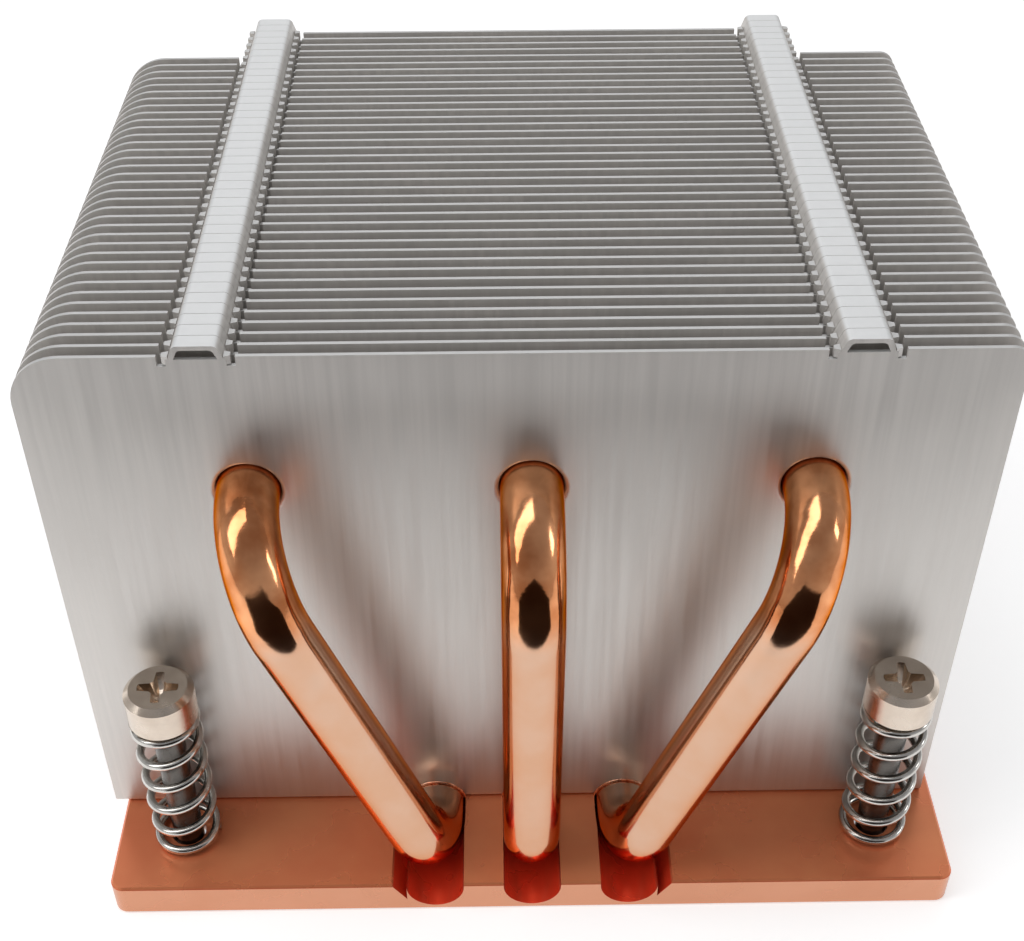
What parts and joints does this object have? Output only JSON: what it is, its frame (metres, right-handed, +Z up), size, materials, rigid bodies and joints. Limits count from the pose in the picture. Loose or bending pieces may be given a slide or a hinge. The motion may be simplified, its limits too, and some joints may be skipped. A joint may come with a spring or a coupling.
{
  "type": "passive server cpu heatsink",
  "caption": "Low copper base with bent heat pipes rising at the front into an upright stack of thin aluminium fins, held down by captive spring screws at the corners.",
  "frame": {"origin": "underside of the base plate, at the middle of the four screws", "axes": "+Z up from the cpu through the base into the fins, -Y the front where the pipes rise, +X to the right seen from the front"},
  "size_m": [0.0912, 0.0911, 0.0661],
  "materials": {
    "copper_plate": "milled copper",
    "copper_pipe": "polished copper",
    "fin_sheet": "satin stamped sheet",
    "screw_steel": "nickel plated",
    "spring_wire": "bright spring wire",
    "clip_steel": "oiled spring steel"
  },
  "bodies": {
    "cooler": {"base_plate": "copper_plate", "heat_pipe_left": "copper_pipe", "heat_pipe_middle": "copper_pipe", "heat_pipe_right": "copper_pipe", "fin_01": "fin_sheet", "fin_02": "fin_sheet", "fin_03": "fin_sheet", "fin_04": "fin_sheet", "fin_05": "fin_sheet", "fin_06": "fin_sheet", "fin_07": "fin_sheet", "fin_08": "fin_sheet", "fin_09": "fin_sheet", "fin_10": "fin_sheet", "fin_11": "fin_sheet", "fin_12": "fin_sheet", "fin_13": "fin_sheet", "fin_14": "fin_sheet", "fin_15": "fin_sheet", "fin_16": "fin_sheet", "fin_17": "fin_sheet", "fin_18": "fin_sheet", "fin_19": "fin_sheet", "fin_20": "fin_sheet", "fin_21": "fin_sheet", "fin_22": "fin_sheet", "fin_23": "fin_sheet", "fin_24": "fin_sheet", "fin_25": "fin_sheet", "fin_26": "fin_sheet", "fin_27": "fin_sheet", "fin_28": "fin_sheet", "fin_29": "fin_sheet", "fin_30": "fin_sheet", "fin_31": "fin_sheet", "fin_32": "fin_sheet", "fin_33": "fin_sheet", "fin_34": "fin_sheet", "fin_35": "fin_sheet", "fin_36": "fin_sheet", "fin_37": "fin_sheet", "fin_38": "fin_sheet", "fin_39": "fin_sheet", "fin_40": "fin_sheet", "spring_front_left": "spring_wire", "spring_front_right": "spring_wire", "spring_rear_left": "spring_wire", "spring_rear_right": "spring_wire"},
    "catch_front_left": {"clip_front_left": "clip_steel"},
    "fastener_front_left": {"screw_front_left": "screw_steel"},
    "catch_front_right": {"clip_front_right": "clip_steel"},
    "fastener_front_right": {"screw_front_right": "screw_steel"},
    "catch_rear_left": {"clip_rear_left": "clip_steel"},
    "fastener_rear_left": {"screw_rear_left": "screw_steel"},
    "catch_rear_right": {"clip_rear_right": "clip_steel"},
    "fastener_rear_right": {"screw_rear_right": "screw_steel"}
  },
  "joints": [
    {"name": "press_front_left", "type": "slide", "parent": "cooler", "child": "catch_front_left", "axis": [0, 0, -1], "range_m": [0, 0.005], "stiffness_N_per_m": 3900, "deforming": ["spring_front_left"]},
    {"name": "turn_front_left", "type": "hinge", "parent": "catch_front_left", "child": "fastener_front_left", "pos_m": [-0.0375, -0.0375, 0], "axis": [0, 0, 1], "continuous": true},
    {"name": "press_front_right", "type": "slide", "parent": "cooler", "child": "catch_front_right", "axis": [0, 0, -1], "range_m": [0, 0.005], "stiffness_N_per_m": 3900, "deforming": ["spring_front_right"]},
    {"name": "turn_front_right", "type": "hinge", "parent": "catch_front_right", "child": "fastener_front_right", "pos_m": [0.0375, -0.0375, 0], "axis": [0, 0, 1], "continuous": true},
    {"name": "press_rear_left", "type": "slide", "parent": "cooler", "child": "catch_rear_left", "axis": [0, 0, -1], "range_m": [0, 0.005], "stiffness_N_per_m": 3900, "deforming": ["spring_rear_left"]},
    {"name": "turn_rear_left", "type": "hinge", "parent": "catch_rear_left", "child": "fastener_rear_left", "pos_m": [-0.0375, 0.0375, 0], "axis": [0, 0, 1], "continuous": true},
    {"name": "press_rear_right", "type": "slide", "parent": "cooler", "child": "catch_rear_right", "axis": [0, 0, -1], "range_m": [0, 0.005], "stiffness_N_per_m": 3900, "deforming": ["spring_rear_right"]},
    {"name": "turn_rear_right", "type": "hinge", "parent": "catch_rear_right", "child": "fastener_rear_right", "pos_m": [0.0375, 0.0375, 0], "axis": [0, 0, 1], "continuous": true}
  ]
}
